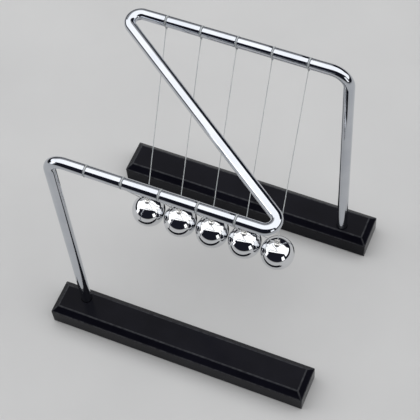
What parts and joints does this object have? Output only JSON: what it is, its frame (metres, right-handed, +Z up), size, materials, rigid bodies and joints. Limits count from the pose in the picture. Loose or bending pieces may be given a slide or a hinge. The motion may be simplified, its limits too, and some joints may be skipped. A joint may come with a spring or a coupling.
{
  "type": "newtons cradle",
  "caption": "Desktop pendulum cradle: a row of chrome balls hung on clear threads from a Z-shaped bent chrome rod that stands in a pair of black bars.",
  "frame": {"origin": "on the table, at the middle of the frame's footprint, under the middle ball", "axes": "+X along the row of balls, +Y from the front rail to the rear rail, +Z up; the front post stands at -X and the rear post at +X"},
  "size_m": [0.142, 0.1156, 0.1522],
  "materials": {
    "chrome_rod": "mirror-polished chrome plate on bent steel rod",
    "chrome_ball": "mirror-polished steel",
    "nickel_eyelet": "bright nickel plate",
    "zinc_fastener": "bright zinc plate",
    "black_bar": "moulded, glossy with a faint fine texture",
    "foot_pad": "matt foam rubber",
    "clear_nylon": "clear drawn monofilament"
  },
  "bodies": {
    "root": {"z_frame_rod": "chrome_rod", "front_bar": "black_bar", "rear_bar": "black_bar", "front_screw": "zinc_fastener", "rear_screw": "zinc_fastener", "front_washer": "zinc_fastener", "rear_washer": "zinc_fastener", "front_pad_post_end": "foot_pad", "front_pad_free_end": "foot_pad", "rear_pad_post_end": "foot_pad", "rear_pad_free_end": "foot_pad", "front_loop_1": "clear_nylon", "front_loop_2": "clear_nylon", "front_loop_3": "clear_nylon", "front_loop_4": "clear_nylon", "front_loop_5": "clear_nylon", "rear_loop_1": "clear_nylon", "rear_loop_2": "clear_nylon", "rear_loop_3": "clear_nylon", "rear_loop_4": "clear_nylon", "rear_loop_5": "clear_nylon"},
    "pendulum_1": {"ball_1": "chrome_ball", "eyelet_1": "nickel_eyelet", "thread_1": "clear_nylon"},
    "pendulum_2": {"ball_2": "chrome_ball", "eyelet_2": "nickel_eyelet", "thread_2": "clear_nylon"},
    "pendulum_3": {"ball_3": "chrome_ball", "eyelet_3": "nickel_eyelet", "thread_3": "clear_nylon"},
    "pendulum_4": {"ball_4": "chrome_ball", "eyelet_4": "nickel_eyelet", "thread_4": "clear_nylon"},
    "pendulum_5": {"ball_5": "chrome_ball", "eyelet_5": "nickel_eyelet", "thread_5": "clear_nylon"}
  },
  "joints": [
    {"name": "swing_1", "type": "hinge", "parent": "root", "child": "pendulum_1", "pos_m": [-0.036, 0, 0.14618], "axis": [0, -1, 0], "range_deg": [-60, 0.15]},
    {"name": "swing_2", "type": "hinge", "parent": "root", "child": "pendulum_2", "pos_m": [-0.018, 0, 0.14618], "axis": [0, -1, 0], "range_deg": [-0.15, 0.15]},
    {"name": "swing_3", "type": "hinge", "parent": "root", "child": "pendulum_3", "pos_m": [0, 0, 0.14618], "axis": [0, -1, 0], "range_deg": [-0.15, 0.15]},
    {"name": "swing_4", "type": "hinge", "parent": "root", "child": "pendulum_4", "pos_m": [0.018, 0, 0.14618], "axis": [0, -1, 0], "range_deg": [-0.15, 0.15]},
    {"name": "swing_5", "type": "hinge", "parent": "root", "child": "pendulum_5", "pos_m": [0.036, 0, 0.14618], "axis": [0, -1, 0], "range_deg": [-0.15, 60]}
  ]
}
